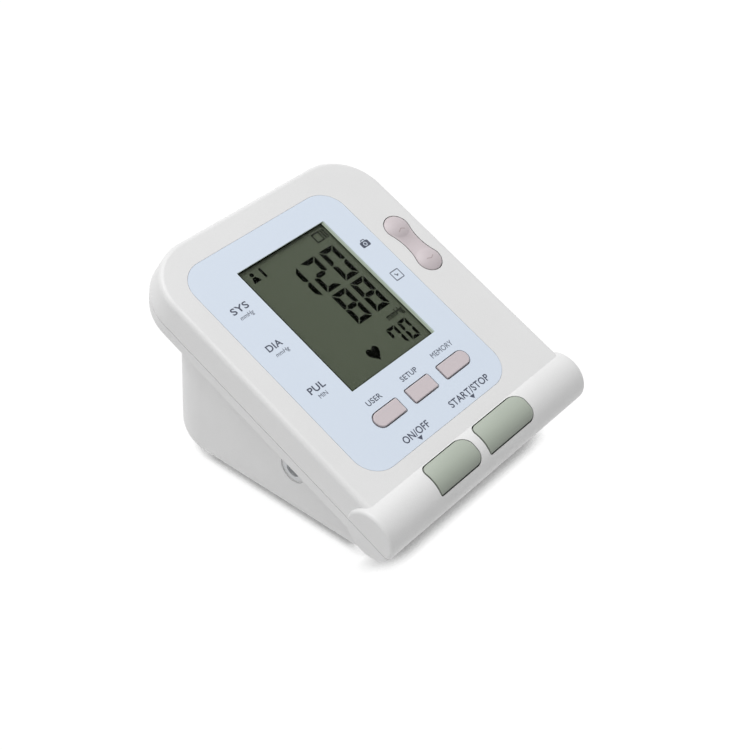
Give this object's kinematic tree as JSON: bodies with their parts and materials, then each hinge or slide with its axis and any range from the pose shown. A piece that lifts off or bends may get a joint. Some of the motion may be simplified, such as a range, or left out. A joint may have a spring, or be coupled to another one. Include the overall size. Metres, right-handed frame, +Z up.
{
  "type": "upper arm blood pressure monitor",
  "caption": "Desktop blood pressure monitor with a sloping display panel, a front roll with two buttons, three small keys, a rocker key, an air socket and a mains inlet.",
  "frame": {"origin": "on the table under the middle of the case, at the bottom centre of the bounding box", "axes": "+X to the right of the display, +Y from the front roll to the back, +Z up"},
  "size_m": [0.1072, 0.122, 0.083],
  "materials": {
    "cover_plastic": "fine satin moulded plastic",
    "case_plastic": "fine satin moulded plastic",
    "panel_film": "light blue printed film",
    "clear_lens": "clear acrylic",
    "grey_plastic": "satin",
    "label_film": "satin film",
    "foot_rubber": "matt rubber",
    "screw_steel": "zinc plated",
    "lcd_glass": "dark olive display with a glossy polariser",
    "frame_plastic": "plain moulded",
    "strip_rubber": "zebra strip",
    "board_green": "solder mask",
    "ribbon_film": "polyimide film",
    "black_plastic": "moulded",
    "capacitor_can": "sleeved can",
    "cell_jacket": "plain printed jacket",
    "contact_metal": "nickel plated",
    "socket_plastic": "satin",
    "clear_plastic": "natural nylon",
    "sensor_plastic": "moulded",
    "silicone": "translucent silicone",
    "valve_steel": "plated",
    "coil_copper": "enamelled copper wire",
    "motor_can": "plated",
    "membrane_rubber": "matt",
    "foam": "closed cell foam",
    "jack_plastic": "moulded",
    "jack_metal": "plated",
    "button_green": "soft touch rubber coat",
    "key_pink": "soft touch rubber coat",
    "plunger_plastic": "moulded",
    "rotor_steel": "laminated core"
  },
  "bodies": {
    "case": {"front_cover": "cover_plastic", "rear_case": "case_plastic", "panel_overlay": "panel_film", "window_lens": "clear_lens", "roll_end_cap": "grey_plastic", "side_label": "label_film", "rubber_feet": "foot_rubber", "case_screws": "screw_steel", "lcd_glass": "lcd_glass", "lcd_frame": "frame_plastic", "lcd_elastomers": "strip_rubber", "main_board": "board_green", "button_board": "board_green", "board_screws": "screw_steel", "board_ribbon": "ribbon_film", "tact_switches": "black_plastic", "board_chips": "black_plastic", "buzzer": "black_plastic", "capacitor": "capacitor_can", "battery_cells": "cell_jacket", "contact_plates": "contact_metal", "battery_springs": "contact_metal", "battery_tray": "frame_plastic", "air_socket": "socket_plastic", "air_manifold": "clear_plastic", "leak_valve": "black_plastic", "pressure_sensor": "sensor_plastic", "tube_socket": "silicone", "tube_valve": "silicone", "tube_pump": "silicone", "tube_sensor": "silicone", "valve_body": "valve_steel", "valve_coil": "coil_copper", "valve_spring": "contact_metal", "pump_motor": "motor_can", "pump_crankcase": "black_plastic", "pump_yoke": "frame_plastic", "pump_membrane": "membrane_rubber", "pump_cover": "black_plastic", "pump_screws": "screw_steel", "pump_sleeve": "foam", "dc_jack": "jack_plastic", "dc_jack_pin": "jack_metal"},
    "power_key": {"power_button": "button_green", "power_plunger": "plunger_plastic"},
    "start_key": {"start_button": "button_green", "start_plunger": "plunger_plastic"},
    "user_key_body": {"user_key": "key_pink", "user_plunger": "plunger_plastic"},
    "setup_key_body": {"setup_key": "key_pink", "setup_plunger": "plunger_plastic"},
    "memory_key_body": {"memory_key": "key_pink", "memory_plunger": "plunger_plastic"},
    "rocker": {"rocker_key": "key_pink"},
    "rocker_up_switch": {"rocker_up_plunger": "plunger_plastic"},
    "rocker_down_switch": {"rocker_down_plunger": "plunger_plastic"},
    "door": {"battery_door": "case_plastic"},
    "rotor": {"pump_rotor": "rotor_steel"},
    "valve_core": {"valve_plunger": "valve_steel"}
  },
  "joints": [
    {"name": "power_button_press", "type": "slide", "parent": "case", "child": "power_key", "axis": [0, 0.4384, -0.8988], "range_m": [0, 0.0006], "stiffness_N_per_m": 1500},
    {"name": "start_button_press", "type": "slide", "parent": "case", "child": "start_key", "axis": [0, 0.4384, -0.8988], "range_m": [0, 0.0006], "stiffness_N_per_m": 1500},
    {"name": "user_key_press", "type": "slide", "parent": "case", "child": "user_key_body", "axis": [0, 0.4384, -0.8988], "range_m": [0, 0.0005], "stiffness_N_per_m": 1500},
    {"name": "setup_key_press", "type": "slide", "parent": "case", "child": "setup_key_body", "axis": [0, 0.4384, -0.8988], "range_m": [0, 0.0005], "stiffness_N_per_m": 1500},
    {"name": "memory_key_press", "type": "slide", "parent": "case", "child": "memory_key_body", "axis": [0, 0.4384, -0.8988], "range_m": [0, 0.0005], "stiffness_N_per_m": 1500},
    {"name": "rocker_tilt", "type": "hinge", "parent": "case", "child": "rocker", "pos_m": [0.0415, 0.01157, 0.05978], "axis": [1, 0, 0], "range_deg": [-3.5, 3.5]},
    {"name": "rocker_up_switch_press", "type": "slide", "parent": "case", "child": "rocker_up_switch", "axis": [0, 0.4384, -0.8988], "range_m": [-0.00045, 0.00045], "stiffness_N_per_m": 2600},
    {"name": "rocker_down_switch_press", "type": "slide", "parent": "case", "child": "rocker_down_switch", "axis": [0, 0.4384, -0.8988], "range_m": [-0.0005, 0.0005]},
    {"name": "battery_door_hinge", "type": "hinge", "parent": "case", "child": "door", "pos_m": [0, -0.019, 0.0024], "axis": [-1, 0, 0], "range_deg": [0, 90]},
    {"name": "pump_rotor_spin", "type": "hinge", "parent": "case", "child": "rotor", "pos_m": [0, 0.033, 0.0382], "axis": [1, 0, 0], "continuous": true},
    {"name": "valve_plunger_slide", "type": "slide", "parent": "case", "child": "valve_core", "axis": [-1, 0, 0], "range_m": [0, 0.0008], "stiffness_N_per_m": 150}
  ],
  "couplings": [
    {"joint": "rocker_tilt", "follows": "rocker_up_switch_press", "rad_per_m": -133.33},
    {"joint": "rocker_down_switch_press", "follows": "rocker_up_switch_press", "ratio": -1}
  ]
}
